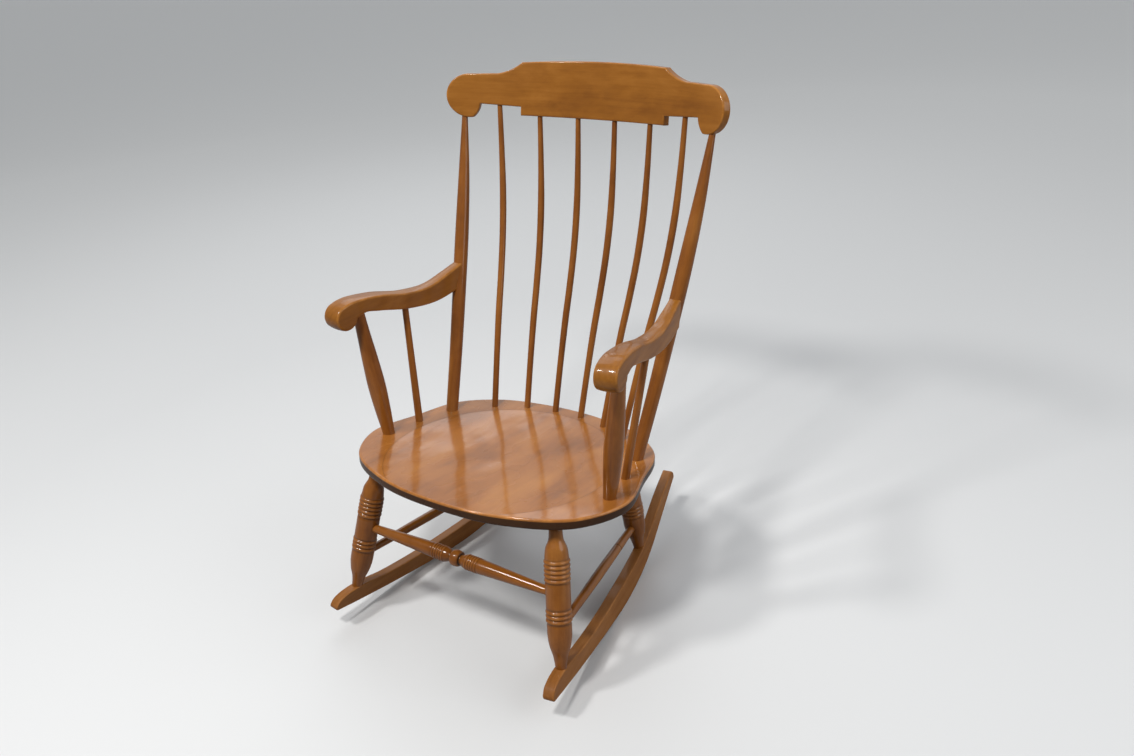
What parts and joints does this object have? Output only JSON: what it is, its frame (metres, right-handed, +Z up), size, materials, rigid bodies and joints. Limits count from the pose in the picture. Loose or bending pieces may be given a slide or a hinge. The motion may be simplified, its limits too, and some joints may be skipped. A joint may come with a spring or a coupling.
{
  "type": "rocking chair",
  "caption": "Wooden rocking chair with a dished seat, bent back spindles under a shaped crest rail, scrolled arms, turned legs and stretchers, and curved rockers.",
  "frame": {"origin": "centre of the chair's footprint on the floor", "axes": "+Z up, -Y toward the front of the seat, +X toward the sitter's left hand"},
  "size_m": [0.7134, 0.802, 1.0802],
  "materials": {
    "seat_board": "honey maple stain under satin gloss lacquer",
    "turned_wood": "honey maple stain under satin gloss lacquer",
    "shaped_wood": "honey maple stain under satin gloss lacquer"
  },
  "bodies": {
    "root": {"seat": "seat_board", "crest_rail": "shaped_wood", "front_stretcher": "turned_wood", "rear_stretcher": "turned_wood", "back_post_left": "turned_wood", "back_post_right": "turned_wood", "arm_left": "shaped_wood", "arm_right": "shaped_wood", "arm_post_left": "turned_wood", "arm_post_right": "turned_wood", "arm_spindle_left": "turned_wood", "arm_spindle_right": "turned_wood", "leg_front_left": "turned_wood", "leg_front_right": "turned_wood", "leg_rear_left": "turned_wood", "leg_rear_right": "turned_wood", "side_stretcher_left": "turned_wood", "side_stretcher_right": "turned_wood", "rocker_left": "shaped_wood", "rocker_right": "shaped_wood", "back_spindle_inner_left": "turned_wood", "back_spindle_inner_right": "turned_wood", "back_spindle_middle_left": "turned_wood", "back_spindle_middle_right": "turned_wood", "back_spindle_outer_left": "turned_wood", "back_spindle_outer_right": "turned_wood"}
  },
  "joints": []
}
